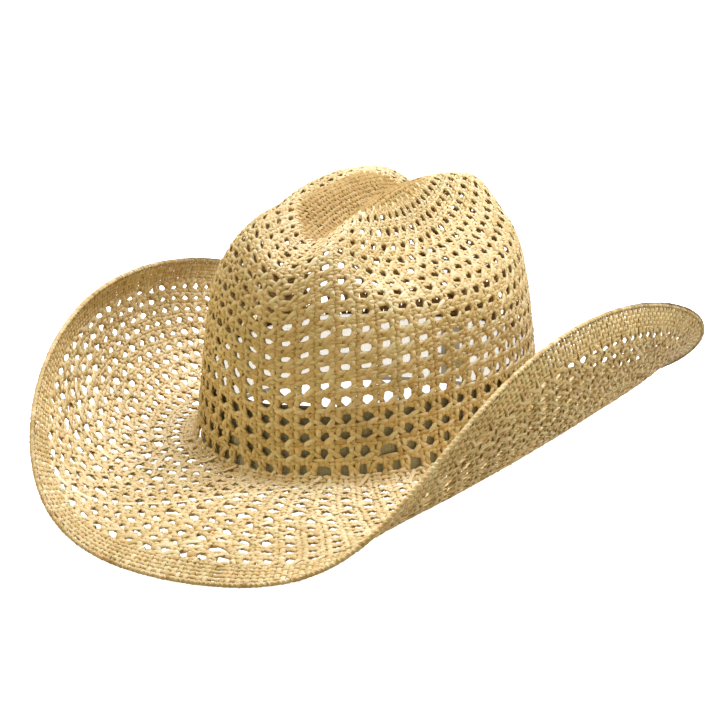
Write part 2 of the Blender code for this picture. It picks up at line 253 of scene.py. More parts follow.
def pressed(dome, x, y):
    """The dome's height after the crease and the two dents are pressed into it."""
    height = soft_lower(dome, crease_height(x, y), CREASE_SOFTNESS)
    height = soft_lower(height, dent_height(x, y, DENT_LEFT), DENT_SOFTNESS)
    return soft_lower(height, dent_height(-x, y, DENT_RIGHT), DENT_SOFTNESS)


def crown_top(x, y):
    """Points of the crown's top over level places."""
    angle = np.arctan2(x / CROWN_HALF_WIDTH, -y / CROWN_HALF_LENGTH)
    spread = np.hypot(x / CROWN_HALF_WIDTH, y / CROWN_HALF_LENGTH)
    climb = np.ones_like(spread)
    for _ in range(4):
        within = np.clip(spread / (1 - crown_taper(angle) * climb), 0.0, 0.999)
        climb = (1 - within ** CROWN_SQUARENESS) ** (1 / CROWN_SQUARENESS)
    dome = CROWN_HEIGHT * climb + BACK_LIFT * y * climb ** 2
    return np.stack([x, y, BREAK_HEIGHT + pressed(dome, x, y)], axis=-1)


def break_point(angle):
    """Where the crown's wall would meet the brim in a sharp corner."""
    lift = BREAK_LIFT * (1 - math.cos(2 * angle)) / 2
    return np.array([CROWN_HALF_WIDTH * math.sin(angle), -CROWN_HALF_LENGTH * math.cos(angle),
                     BREAK_HEIGHT + lift])


def outward(angle):
    """The level direction square to the crown's oval base."""
    normal = np.array([math.sin(angle) / CROWN_HALF_WIDTH, -math.cos(angle) / CROWN_HALF_LENGTH, 0.0])
    return normal / np.linalg.norm(normal)


def crown_line(angle, steps=240):
    """The crown's meridian as a fine line from the break to the middle of the tip."""
    turn = np.linspace(0.0, math.pi / 2, steps)
    spread = np.cos(turn).clip(0.0) ** (2 / CROWN_SQUARENESS)
    climb = np.sin(turn) ** (2 / CROWN_SQUARENESS)
    spread = spread * (1 - crown_taper(angle) * climb)
    x = CROWN_HALF_WIDTH * math.sin(angle) * spread
    y = -CROWN_HALF_LENGTH * math.cos(angle) * spread
    z = pressed(CROWN_HEIGHT * climb + BACK_LIFT * y * climb ** 2, x, y)
    line = np.stack([x, y, z], axis=1)
    base = break_point(angle)
    blend = np.clip(1 - 4 * z / CROWN_HEIGHT, 0.0, 1.0)
    line[:, 2] += BREAK_HEIGHT + (base[2] - BREAK_HEIGHT) * blend
    line[0] = base
    return line


def rim_point(angle):
    """A point of the hat's outline, at the outer edge of the brim."""
    return np.array([series((0.0,) + RIM_ACROSS, math.sin, angle), -series(RIM_ALONG, math.cos, angle),
                     BREAK_HEIGHT + series(RIM_RISE, math.cos, angle)])


def brim_line(angle, steps=240):
    """The brim's meridian as a fine line from the break to the rim."""
    start, end = break_point(angle), rim_point(angle)
    run = end - start
    level_run = np.array([run[0], run[1], 0.0]) / math.hypot(run[0], run[1])
    up = np.array([0.0, 0.0, 1.0])
    start_slope = math.radians(series(BRIM_START_SLOPE, math.cos, angle))
    end_slope = math.radians(series(BRIM_END_SLOPE, math.cos, angle))
    start_way = outward(angle) * math.cos(start_slope) + up * math.sin(start_slope)
    end_way = level_run * math.cos(end_slope) + up * math.sin(end_slope)
    pull = np.linalg.norm(run) * BRIM_FULLNESS
    s = np.linspace(0.0, 1.0, steps)[:, None]
    return ((2 * s ** 3 - 3 * s ** 2 + 1) * start + (s ** 3 - 2 * s ** 2 + s) * pull * start_way
            + (3 * s ** 2 - 2 * s ** 3) * end + (s ** 3 - s ** 2) * pull * end_way)


def lengths_along(line):
    """The distance from a line's first point to each of its points."""
    return np.concatenate([[0.0], np.cumsum(np.linalg.norm(np.diff(line, axis=0), axis=1))])


def closed_ring(ring):
    """A ring of points with its first one again at its end."""
    return np.vstack([ring, ring[:1]])


def unit(vectors):
    """Vectors of length one, the same ways as the given ones."""
    return vectors / np.linalg.norm(vectors, axis=-1, keepdims=True)


def places_on(line, distances):
    """The points at the given distances along a line."""
    lengths = lengths_along(line)
    return np.stack([np.interp(distances, lengths, line[:, axis]) for axis in range(3)], axis=1)


class Meridian:
    """One meridian of the hat, read by its distance from the break: negative up the crown."""

    def __init__(self, angle):
        crown = crown_line(angle)
        brim = brim_line(angle)
        self.crown_length = lengths_along(crown)[-1]
        self.brim_length = lengths_along(brim)[-1]
        spread = np.hypot(crown[:, 0] / TIP_HALF_WIDTH, crown[:, 1] / TIP_HALF_LENGTH)
        self.open_height = np.interp(-1.0, -spread, lengths_along(crown))
        upper = places_on(crown, np.linspace(self.crown_length, BREAK_ROUNDING, 240))
        outer = places_on(brim, np.linspace(BREAK_ROUNDING, self.brim_length, 240))
        s = np.linspace(0.0, 1.0, 16)[1:-1, None]
        bend = (1 - s) ** 2 * upper[-1] + 2 * s * (1 - s) * break_point(angle) + s ** 2 * outer[0]
        self.line = np.concatenate([upper, bend, outer])
        self.lengths = lengths_along(self.line)

    def points(self, distances):
        """Points on the surface, the bend between crown and brim being a little shorter than the corner."""
        share = (np.asarray(distances) + self.crown_length) / (self.crown_length + self.brim_length)
        return np.stack([np.interp(share * self.lengths[-1], self.lengths, self.line[:, axis])
                         for axis in range(3)], axis=1)

    def weave_distances(self, rows):
        """Where the weave's rows lie, as distances from the break."""
        crown_pitch = self.open_height / CROWN_ROWS
        open_width = self.brim_length - 2 * EDGE_RADIUS - BORDER_WIDTH
        hole_rows = np.arange(BRIM_ROWS)
        shares = BRIM_FIRST + BRIM_STEP * hole_rows - BRIM_NARROWING * hole_rows ** 2
        known_rows = [-1.0, CROWN_ROWS - 0.5, *(CROWN_ROWS + 0.5 + hole_rows), LAST_ROW, RIM_ROW]
        known = [-(CROWN_ROWS + 1) * crown_pitch, -crown_pitch / 2, *(open_width * shares), open_width,
                 self.brim_length]
        return np.interp(rows, known_rows, known)


class Surface:
    """The hat's outer face by turn and row, with places spaced evenly round each row."""

    def __init__(self, low, high, per_row, turns=720):
        self.low, self.high, self.turns = low, high, turns
        self.count = int((high - low) * per_row) + 1
        rows = np.linspace(low, high, self.count)
        angles = [2 * math.pi * column / turns for column in range(turns)]
        meridians = [Meridian(angle) for angle in angles]
        grid = np.stack([m.points(m.weave_distances(rows)) for m in meridians], axis=1)
        even = np.arange(turns) / turns
        self.grid = np.empty_like(grid)
        for number, ring in enumerate(grid):
            closed = closed_ring(ring)
            self.grid[number] = places_on(closed, even * lengths_along(closed)[-1])
        around = np.roll(self.grid, -1, axis=1) - np.roll(self.grid, 1, axis=1)
        down = np.gradient(self.grid, axis=0)
        self.normal = unit(np.cross(down, around))

    def read(self, table, turn, row):
        """A table's value between its grid places."""
        across = (np.asarray(turn) % 1.0) * self.turns
        down = (np.asarray(row) - self.low) / (self.high - self.low) * (self.count - 1)
        down = np.clip(down, 0.0, self.count - 1.001)
        left = np.floor(across).astype(int) % self.turns
        right = (left + 1) % self.turns
        top = np.floor(down).astype(int)
        s = (across - np.floor(across))[:, None]
        t = (down - top)[:, None]
        upper = table[top, left] * (1 - s) + table[top, right] * s
        lower = table[top + 1, left] * (1 - s) + table[top + 1, right] * s
        return upper * (1 - t) + lower * t

    def sizes(self, row):
        """The length round the hat at a row, and the mean length down to the next row."""
        place = min(max((row - self.low) / (self.high - self.low) * (self.count - 1), 1), self.count - 2)
        ring = self.grid[int(place)]
        round_length = lengths_along(closed_ring(ring))[-1]
        step = np.linalg.norm(self.grid[int(place) + 1] - self.grid[int(place) - 1], axis=1).mean() / 2
        return round_length, step * (self.count - 1) / (self.high - self.low)

    def at(self, turn, row, lift):
        """Points at a lift above the middle of the straw, and the surface's normals there."""
        point = self.read(self.grid, turn, row)
        normal = unit(self.read(self.normal, turn, row))
        return point + normal * (np.asarray(lift) - MIDDLE_DEPTH)[:, None], normal


# ---------------------------------------------------------------- strands

def smooth_path(knots, steps, closed=False):
    """Catmull-Rom points through knots, some steps for each span."""
    knots = np.asarray(knots, float)
    if closed:
        ends = np.vstack([knots[-1:], knots, knots[:2]])
    else:
        ends = np.vstack([2 * knots[0] - knots[1], knots, 2 * knots[-1] - knots[-2]])
    before, start, end, after = ends[:-3, None], ends[1:-2, None], ends[2:-1, None], ends[3:, None]
    s = (np.arange(steps) / steps)[None, :, None]
    spans = 0.5 * (2 * start + (end - before) * s + (2 * before - 5 * start + 4 * end - after) * s ** 2
                   + (3 * start - before - 3 * end + after) * s ** 3)
    spans = spans.reshape(-1, knots.shape[1])
    return spans if closed else np.vstack([spans, knots[-1:]])


def wander(count, reach, size):
    """A slow random change along a strand, from one place every few rings."""
    knots = RANDOM.normal(0.0, size, max(4, int(count / reach) + 4))
    return np.interp(np.linspace(0, len(knots) - 1, count), np.arange(len(knots)), knots)


class Strand:
    """One flat strand lying along a line of points, as rings of a crowned section."""

    def __init__(self, points, normals, width, thickness, closed=False, tone=None, unevenness=1.0):
        self.closed = closed
        rings = len(points)
        if closed:
            tangent = np.roll(points, -1, axis=0) - np.roll(points, 1, axis=0)
        else:
            tangent = np.gradient(points, axis=0)
        tangent = unit(tangent)
        side = unit(np.cross(normals, tangent))
        up = np.cross(tangent, side)
        ends = np.sin(np.linspace(0.0, math.pi, rings)) ** 0.25 if closed else np.ones(rings)
        ends = ends * unevenness
        roll = (wander(rings, *ROLL_WANDER) * ends)[:, None]
        side, up = side * np.cos(roll) + up * np.sin(roll), up * np.cos(roll) - side * np.sin(roll)
        widths = width * (1 + wander(rings, *WIDTH_WANDER) * ends)
        depths = thickness * (1 + wander(rings, *DEPTH_WANDER) * ends)
        section = np.array(SECTION)
        self.rings = (points[:, None] + side[:, None] * section[None, :, :1] * widths[:, None, None]
                      + up[:, None] * section[None, :, 1:] * depths[:, None, None])
        tone = RANDOM.normal(*STRAND_TONE) if tone is None else tone
        self.tone = np.clip(tone + wander(rings, *TONE_WANDER) * ends, 0.0, 1.0)
        self.lengths = lengths_along(closed_ring(points) if closed else points)

    def part(self, first, last):
        """The stretch between two rings, as a strand of its own."""
        piece = object.__new__(Strand)
        piece.closed = False
        piece.rings = self.rings[first:last + 1]
        piece.tone = self.tone[first:last + 1]
        piece.lengths = self.lengths[first:last + 1]
        return piece


def strand_mesh(name, strands):
    """One mesh of several strands, with their lengths as UVs and their tones as an attribute."""
    sides = len(SECTION)
    quads, caps, strips, first = [], [], [], 0
    for strand in strands:
        rings = len(strand.rings)
        spans = rings if strand.closed else rings - 1
        ring, place = np.arange(spans)[:, None], np.arange(sides)[None, :]
        after, beside = (ring + 1) % rings, (place + 1) % sides
        quads.append(first + np.stack([ring * sides + place, ring * sides + beside, after * sides + beside,
                                       after * sides + place], axis=-1).reshape(-1, 4))
        if not strand.closed:
            caps.append(first + np.arange(sides)[::-1])
            caps.append(first + (rings - 1) * sides + np.arange(sides))
        along = np.stack([strand.lengths[:spans], strand.lengths[1:spans + 1]], axis=1)
        strip = np.empty((spans, sides, 4, 2))
        strip[:, :, :2, 0] = along[:, None, :1]
        strip[:, :, 2:, 0] = along[:, None, 1:]
        strip[:, :, (0, 3), 1] = place[:, :, None] / sides
        strip[:, :, (1, 2), 1] = (place[:, :, None] + 1) / sides
        strips.append(strip.reshape(-1, 2))
        first += rings * sides
    quads = np.vstack(quads)
    loops = np.concatenate([quads.reshape(-1), *caps])
    sizes = np.concatenate([np.full(len(quads), 4), np.full(len(caps), sides)]).astype(np.int32)
    mesh = bpy.data.meshes.new(name)
    mesh.vertices.add(first)
    mesh.vertices.foreach_set("co", np.vstack([s.rings.reshape(-1, 3) for s in strands]).astype("f").ravel())
    mesh.loops.add(len(loops))
    mesh.loops.foreach_set("vertex_index", loops.astype(np.int32))
    mesh.polygons.add(len(sizes))
    mesh.polygons.foreach_set("loop_start", np.concatenate([[0], np.cumsum(sizes)[:-1]]).astype(np.int32))
    mesh.update(calc_edges=True)
    mesh.shade_smooth()
    add_strand_layers(mesh, strands, strips, len(caps) * sides)
    sharpen_ends(mesh, caps, first)
    return mesh


def add_strand_layers(mesh, strands, strips, cap_corners):
    """The strand's own UVs, an even layout of the strands side by side, and the tones."""
    cap_uv = np.zeros((cap_corners, 2))
    layer = mesh.uv_layers.new(name="Strand")
    layer.uv.foreach_set("vector", np.vstack([*strips, cap_uv]).astype("f").ravel())
    longest = max(strip[:, 0].max() - strip[:, 0].min() for strip in strips)
    share = 1.0 / len(strips)
    bake = []
    for number, strip in enumerate(strips):
        column = (number + 0.05 + 0.9 * strip[:, 1]) * share
        bake.append(np.stack([column, (strip[:, 0] - strip[:, 0].min()) / longest], axis=-1))
    layer = mesh.uv_layers.new(name="OFBake")
    layer.uv.foreach_set("vector", np.vstack([*bake, cap_uv]).astype("f").ravel())
    tones = np.concatenate([np.repeat(strand.tone, len(SECTION)) for strand in strands])
    attribute = mesh.attributes.new("tone", "FLOAT", "POINT")
    attribute.data.foreach_set("value", tones.astype("f"))


def sharpen_ends(mesh, caps, vertex_count):
    """Keep the strands' cut ends from rounding their shading."""
    at_end = np.zeros(vertex_count, bool)
    if caps:
        at_end[np.concatenate(caps)] = True
    edges = np.empty(len(mesh.edges) * 2, np.int32)
    mesh.edges.foreach_get("vertices", edges)
    edges = edges.reshape(-1, 2)
    sharp = at_end[edges[:, 0]] & at_end[edges[:, 1]]
    mesh.attributes.new("sharp_edge", "BOOLEAN", "EDGE").data.foreach_set("value", sharp)


def add_object(name, data):
    """An object in the scene."""
    item = bpy.data.objects.new(name, data)
    bpy.context.scene.collection.objects.link(item)
    return item


def place_piece(name, mesh, material, slot, *nodes):
    """Put a piece in the scene, on the hat's one body."""
    mesh.materials.append(material)
    piece = add_object(name, mesh)
    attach(piece, "root")
    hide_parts(*nodes)


def place_strands(name, strands, material, slot, node, per_piece=STRANDS_PER_PIECE):
    """Put strands in the scene, a few to a piece."""
    for number, first in enumerate(range(0, len(strands), per_piece), start=1):
        mesh = strand_mesh(f"{name}_{number:02d}", strands[first:first + per_piece])
        place_piece(mesh.name, mesh, material, slot, node)


# ---------------------------------------------------------------- the open weave

Crossing = namedtuple("Crossing", "turn row level place right")


class Weave:
    """Where the strands of the open weave cross, level by level, and the path of each strand.

    Two strands cross at the nodes above and below the holes, on even levels, and three at the posts
    between the holes, on odd ones.
    """

    def __init__(self, surface):
        self.levels = 2 * LAST_ROW + 1
        self.counts = [CROWN_POSTS]
        self.low, self.high = [], []         # the first and last node under each gap, for every post level
        for level in range(1, self.levels):
            count = self.counts[-1]
            if level % 2 == 0:
                extra = max(0, self.wanted(level / 2 + 0.5) - count)
                grown = self.growing_gaps(count, extra)
                low = np.arange(count) + np.concatenate([[0], np.cumsum(grown)[:-1]])
                self.low.append(low)
                self.high.append(low + grown)
                count += extra
            self.counts.append(count)
        self.settle()
        self.stray(surface)
        self.wefts = {level: self.weft_rows(surface, level / 2) for level in range(0, self.levels, 2)}

    @staticmethod
    def wanted(row):
        """How many posts a row of holes has."""
        if row < CROWN_ROWS - 1:
            return CROWN_POSTS
        if row < CROWN_ROWS:
            return LAST_CROWN_POSTS
        share = (row - CROWN_ROWS - 0.5) / (BRIM_ROWS - 1)
        return int(round(FIRST_BRIM_POSTS + (RIM_POSTS - FIRST_BRIM_POSTS) * share))

    @staticmethod
    def growing_gaps(count, extra):
        """Which gaps get a second node, spread round the hat with some unevenness."""
        grown = np.zeros(count, int)
        if extra:
            places = (np.arange(extra) + RANDOM.uniform(0.2, 0.8, extra)) / extra + RANDOM.uniform()
            grown[(places * count).astype(int) % count] = 1
            spare = extra - grown.sum()
            grown[np.flatnonzero(grown == 0)[:spare]] = 1
        return grown

    @staticmethod
    def weft_rows(surface, row):
        """Where the wefts between two rows of holes lie, counted in rows from the middle between them."""
        row_length = surface.sizes(row)[1]
        count = max(2, round((row_length - np.interp(row, *HOLE_HEIGHTS)) / WEFT_PITCH))
        return [(number - (count - 1) / 2) * WEFT_PITCH / row_length for number in range(count)]

    def links(self, level):
        """For each crossing of a level, its neighbours to the left and right on the next level."""
        count = self.counts[level]
        here = np.arange(count)
        if level % 2 == 0:
            return (here - 1) % count, here
        low, high = self.low[level // 2], self.high[level // 2]
        return high, low[(here + 1) % count]

    def settle(self):
        """Spread the crossings until each lies evenly among its neighbours."""
        self.turns = []
        for level, count in enumerate(self.counts):
            offset = FRONT_PHASE if level % 2 == 0 else FRONT_PHASE + 0.5
            self.turns.append((np.arange(count) + offset) / count)
        for _ in range(SETTLE_ROUNDS):
            sums = [self.shifted(t, 1) + self.shifted(t, -1) for t in self.turns]
            weights = [np.full(len(t), 2.0) for t in self.turns]
            for level in range(self.levels - 1):
                left, right = self.links(level)
                for link in (left, right):
                    gap = (self.turns[level + 1][link] - self.turns[level] + 0.5) % 1.0 - 0.5
                    np.add.at(sums[level], np.arange(len(link)), self.turns[level] + gap)
                    np.add.at(weights[level], np.arange(len(link)), 1.0)
                    np.add.at(sums[level + 1], link, self.turns[level + 1][link] - gap)
                    np.add.at(weights[level + 1], link, 1.0)
            for level in range(1, self.levels):
                self.turns[level] = sums[level] / weights[level]

    @staticmethod
    def shifted(turns, step):
        """Each crossing's neighbour in its own level, counted on without a jump at the front."""
        moved = np.roll(turns, step)
        if step > 0:
            moved[0] -= 1.0
        else:
            moved[-1] += 1.0
        return moved

    def stray(self, surface):
        """Small uneven shifts of every crossing, and the rows they lie on."""
        self.rows = []
        for level, turns in enumerate(self.turns):
            row = level / 2
            round_length, row_length = surface.sizes(row)
            self.turns[level] = turns + RANDOM.normal(0.0, JITTER, len(turns)) / round_length
            self.rows.append(row + RANDOM.normal(0.0, JITTER, len(turns)) / row_length)

    def crossing(self, level, place, right, near=None):
        """One crossing, its turn counted on without a jump from a neighbour's."""
        turn = self.turns[level][place]
        if near is not None:
            turn = near + (turn - near + 0.5) % 1.0 - 0.5
        return Crossing(turn, self.rows[level][place], level, place, right)

    def run(self, level, place, right):
        """A slanting strand's crossings from one of them down to the border."""
        crossings = [self.crossing(level, place, right)]
        while level < self.levels - 1:
            place = int(self.links(level)[int(right)][place])
            level += 1
            crossings.append(self.crossing(level, place, right, crossings[-1].turn))
        return crossings

    def slants(self):
        """The crossings of every slanting strand; one that starts on the way is folded at its middle."""
        runs = [self.run(0, place, right) for place in range(self.counts[0]) for right in (True, False)]
        for number, (low, high) in enumerate(zip(self.low, self.high)):
            level = 2 * number + 2
            for left, right in zip(low[high > low], high[high > low]):
                going_left = self.run(level, left, False)
                going_right = self.run(level, right, True)
                jump = round(going_left[0].turn - going_right[0].turn)
                going_right = [c._replace(turn=c.turn + jump) for c in going_right]
                runs.append(going_left[::-1] + going_right)
        return runs

    def ribs(self):
        """The posts that every upright strand passes through."""
        runs, open_runs = [], {}
        for level in range(1, self.levels, 2):
            following = {}
            for place in range(self.counts[level]):
                run = open_runs.get(place)
                if run is None:
                    run = []
                    runs.append(run)
                run.append(self.crossing(level, place, None, run[-1].turn if run else None))
                if level < self.levels - 1:
                    following[int(self.high[level // 2][place])] = run
            open_runs = following
        return runs


def slant_lift(wefts, number, offset, right):
    """Whether a slanting strand goes over or under one weft of a node; a middle weft isn't counted."""
    order = number - (1 if wefts % 2 and offset > 0 else 0)
    return LIFT if (order % 2 == 1) == right else -LIFT


def slant_knots(weave, run):
    """The knots of a slanting strand: turn, row and lift where it crosses the wefts, ribs and slants."""
    knots = []
    for here in run:
        way = 1.0 if here.right else -1.0
        width = 1.0 / weave.counts[here.level]
        if here.level % 2:
            knots.append((here.turn - way * RIB_OFFSET * width, here.row - RIB_OFFSET, -LIFT))
            knots.append((here.turn, here.row, way * CENTRE_LIFT))
            knots.append((here.turn + way * RIB_OFFSET * width, here.row + RIB_OFFSET, LIFT))
            continue
        wefts = weave.wefts[here.level]
        for number, offset in enumerate(wefts):
            if len(wefts) % 2 and offset == 0:
                knots.append((here.turn, here.row, -way * CENTRE_LIFT))
                continue
            lift = slant_lift(len(wefts), number, offset, here.right)
            knots.append((here.turn + way * offset * width, here.row + offset, lift))
    return knots


def rib_knots(weave, run, side):
    """The knots of one of the two ribs of a line of posts."""
    knots = []
    for here, after in zip(run, [*run[1:], None]):
        shift = side * RIB_OFFSET / weave.counts[here.level]
        knots.append((here.turn + shift, here.row - RIB_OFFSET, LIFT))
        knots.append((here.turn + shift, here.row + RIB_OFFSET, -LIFT))
        if after is None:
            continue
        for number, offset in enumerate(weave.wefts[here.level + 1]):
            lift = LIFT if (number % 2 == 0) == (side < 0) else -LIFT
            knots.append(((here.turn + after.turn) / 2 + shift, (here.row + after.row) / 2 + offset, lift))
    return knots


def weft_knots(weave, level, number, offset):
    """The knots of one weft round the hat: where it crosses each node's slants and the ribs beside it."""
    turns, rows = weave.turns[level], weave.rows[level]
    width = 1.0 / weave.counts[level]
    left_lift = -slant_lift(len(weave.wefts[level]), number, offset, offset < 0)
    rib_lift = -LIFT if number % 2 == 0 else LIFT
    knots = []
    for place, turn in enumerate(turns):
        after = turns[(place + 1) % len(turns)]
        middle = turn + ((after - turn) % 1.0) / 2
        row = (rows[place] + rows[(place + 1) % len(rows)]) / 2 + offset
        if abs(offset) < SAME_ROW:
            knots.append((turn, rows[place] + offset, 0.0))
        else:
            knots.append((turn - abs(offset) * width, rows[place] + offset, left_lift))
            knots.append((turn + abs(offset) * width, rows[place] + offset, -left_lift))
        knots.append((middle - RIB_OFFSET * width, row, rib_lift))
        knots.append((middle + RIB_OFFSET * width, row, -rib_lift))
    return knots


def border_knots(turn, number):
    """How a strand goes on through the border's rounds, over one and under the next."""
    knots = []
    for round_number, row in enumerate(ROUND_ROWS):
        knots.append((turn, row, ROUND_LIFT if (number + round_number) % 2 else -ROUND_LIFT))
    knots.append((turn, ROUND_ROWS[-1] + BORDER_REACH, 0.0))
    return knots


def weave_paths(weave):
    """Every slant and rib as its knots and width, carried on through the border, and where they cross it."""
    last = weave.levels - 1
    eighth = 1.0 / weave.counts[last] / 8
    paths, ends = [], []
    for run in weave.slants():
        knots = slant_knots(weave, run)
        if run[0].level == 0:
            first, second = knots[0], knots[1]
            knots.insert(0, (1.5 * first[0] - 0.5 * second[0], first[1] - FIRST_SLANT_REACH, -CENTRE_LIFT))
        elif run[0].level == last:
            ends.append((run[0].turn - eighth, len(paths), True))
        ends.append((run[-1].turn + (eighth if run[-1].right else -eighth), len(paths), False))
        paths.append((knots, SLANT_WIDTH))
    for run in weave.ribs():
        reach = FIRST_RIB_REACH if run[0].level == 1 else LATER_RIB_REACH
        for side in (-1, 1):
            knots = rib_knots(weave, run, side)
            knots.insert(0, (knots[0][0], knots[0][1] - reach, -CENTRE_LIFT))
            ends.append((run[-1].turn + side * eighth, len(paths), False))
            paths.append((knots, RIB_WIDTH))
    ends.sort(key=lambda end: end[0] % 1.0)
    for number, (turn, path, at_start) in enumerate(ends):
        knots, width = paths[path]
        more = border_knots(turn, number)
        paths[path] = (more[::-1] + knots if at_start else knots + more, width)
    return paths, [turn % 1.0 for turn, _, _ in ends]


def lay_strand(surface, pitches, knots, width, closed=False):
    """A strand through its knots, with the row of each of its rings."""
    path = closed_turns(knots, 2) if closed else smooth_path(knots, 2)
    points, normals = surface.at(path[:, 0], path[:, 1], path[:, 2])
    squeeze = np.interp(path[:, 1], np.arange(len(pitches)), pitches) / FULL_PITCH
    widths = width * np.clip(squeeze, 0.4, 1.15) ** 0.6 * (1 + BULGE * path[:, 2] / LIFT)
    strand = Strand(points, normals, widths, STRAND_THICKNESS, closed)
    # painted shade where the strand dips under another, painted light where it lies on top
    strand.tone = np.clip(strand.tone + PAINTED_DIP_SHADE * path[:, 2] / LIFT, 0.0, 1.0)
    return strand, path[:, 1]


def share_out(strand, rows, shares):
    """Cut a strand where it passes from one piece of the hat to the next."""
    region = np.digitize(rows, (CROWN_ROWS, LAST_ROW))
    cuts = [0, *(np.flatnonzero(np.diff(region)) + 1), len(rows) - 1]
    for first, last in zip(cuts[:-1], cuts[1:]):
        if last > first:
            shares[region[first]].append(strand.part(first, last))


def make_open_weave(surface, straws):
    """The open crown and brim, the border that they run into, and the border's rounds."""
    weave = Weave(surface)
    paths, border = weave_paths(weave)
    pitches = [surface.sizes(row)[0] / weave.wanted(min(row, LAST_ROW - 0.5)) for row in range(RIM_ROW + 1)]
    shares = [[], [], []]
    for knots, width in paths:
        strand, rows = lay_strand(surface, pitches, knots, width)
        share_out(strand, rows, shares)
    for level, wefts in weave.wefts.items():
        for number, offset in enumerate(wefts):
            if 0 < level / 2 + offset < LAST_ROW + SAME_ROW:
                knots = weft_knots(weave, level, number, offset)
                strand, _ = lay_strand(surface, pitches, knots, WEFT_WIDTH, closed=True)
                shares[int(level / 2 + offset >= CROWN_ROWS)].append(strand)
    place_strands("crown_strands", shares[0], straws["crown"], "crown_straw", "crown_side")
    place_strands("brim_strands", shares[1], straws["brim"], "brim_straw", "brim")
    place_strands("border_strands", shares[2], straws["border"], "border_straw", "brim_border", 60)
    rounds = []
    for round_number, row in enumerate(ROUND_ROWS):
        knots = [(turn, row, -ROUND_LIFT if (number + round_number) % 2 else ROUND_LIFT)
                 for number, turn in enumerate(border)]
        path = closed_turns(knots, 3)
        points, normals = surface.at(path[:, 0], path[:, 1], path[:, 2])
        rounds.append(Strand(points, normals, ROUND_WIDTH, STRAND_THICKNESS, closed=True))
    place_strands("border_rounds", rounds, straws["border"], "border_straw", "brim_border", 1)


def closed_turns(knots, steps):
    """A smooth path through knots that go once round the hat."""
    knots = np.asarray(knots, float)
    whole = np.array([1.0, 0.0, 0.0])
    ends = np.vstack([knots[-1:] - whole, knots, knots[:2] + whole])
    return smooth_path(ends, steps)[steps:steps * (len(knots) + 1)]


# ---------------------------------------------------------------- the close-woven tip

def tip_pitches(points_of, reach):
    """Places along a line over the tip, spaced evenly on its surface."""
    line = np.linspace(-reach, reach, 801)
    lengths = lengths_along(points_of(line))
    middle = np.interp(0.0, line, lengths)
    count = int(middle / TIP_PITCH)
    return np.interp(middle + np.arange(-count, count + 1) * TIP_PITCH, lengths, line)


def tip_normals(x, y):
    """The surface's normals over level places of the tip."""
    across = crown_top(x + NORMAL_STEP, y) - crown_top(x - NORMAL_STEP, y)
    along = crown_top(x, y + NORMAL_STEP) - crown_top(x, y - NORMAL_STEP)
    return unit(np.cross(across, along))


def inside_outline(outline, x, y):
    """Whether level places lie inside the tip's outline."""
    angles = np.arctan2(outline[:, 0], -outline[:, 1]) % (2 * math.pi)
    order = np.argsort(angles)
    radii = np.hypot(outline[:, 0], outline[:, 1])
    reach = np.interp(np.arctan2(x, -y) % (2 * math.pi), angles[order], radii[order], period=2 * math.pi)
    return np.hypot(x, y) < reach


def tip_strand(lines, crossings, number, lengthwise, outline):
    """One strand of the tip's plain weave, cut off just outside the tip's edge."""
    knots_x = np.full(len(crossings), lines[number]) if lengthwise else np.array(crossings)
    knots_y = np.array(crossings) if lengthwise else np.full(len(crossings), lines[number])
    inside = np.flatnonzero(inside_outline(outline, knots_x, knots_y))
    if len(inside) < 3:
        return None
    chosen = slice(inside[0], inside[-1] + 1)
    parity = 1 if lengthwise else -1
    lifts = parity * TIP_LIFT * np.where((np.arange(len(crossings)) + number) % 2, 1.0, -1.0)
    drift = RANDOM.normal(0.0, TIP_JITTER, (len(crossings), 2))
    knots = np.stack([knots_x + drift[:, 0], knots_y + drift[:, 1], lifts], axis=1)[chosen]
    path = smooth_path(knots, 3)
    normals = tip_normals(path[:, 0], path[:, 1])
    points = crown_top(path[:, 0], path[:, 1]) + normals * (path[:, 2] - MIDDLE_DEPTH)[:, None]
    return Strand(points, normals, TIP_STRAND_WIDTH, STRAND_THICKNESS, tone=RANDOM.normal(*TIP_TONE))


def make_tip(surface, straws):
    """The crown's close plain weave, from which the open weave starts."""
    outline = surface.read(surface.grid, np.arange(360) / 360, np.full(360, TIP_EDGE_ROW))
    xs = tip_pitches(lambda x: crown_top(x, np.zeros_like(x)), TIP_HALF_WIDTH + TIP_MARGIN)
    ys = tip_pitches(lambda y: crown_top(np.zeros_like(y), y), TIP_HALF_LENGTH + TIP_MARGIN)
    strands = [tip_strand(xs, ys, number, True, outline) for number in range(len(xs))]
    strands += [tip_strand(ys, xs, number, False, outline) for number in range(len(ys))]
    strands = [strand for strand in strands if strand is not None]
    place_strands("tip_strands", strands, straws["tip"], "tip_straw", "crown_tip", 40)


# ---------------------------------------------------------------- the turned edge

def edge_frame(surface, turns):
    """The middle of the turned edge at some turns, with the ways outwards and up from it."""
    row = np.full(len(turns), float(RIM_ROW))
    outer, up = surface.at(turns, row, np.full(len(turns), MIDDLE_DEPTH))
    inner, _ = surface.at(turns, row - EDGE_ROWS, np.full(len(turns), MIDDLE_DEPTH))
    out = unit(outer - inner)
    up = unit(up - out * np.sum(up * out, axis=1, keepdims=True))
    return outer - out * EDGE_RADIUS - up * MIDDLE_DEPTH, out, up


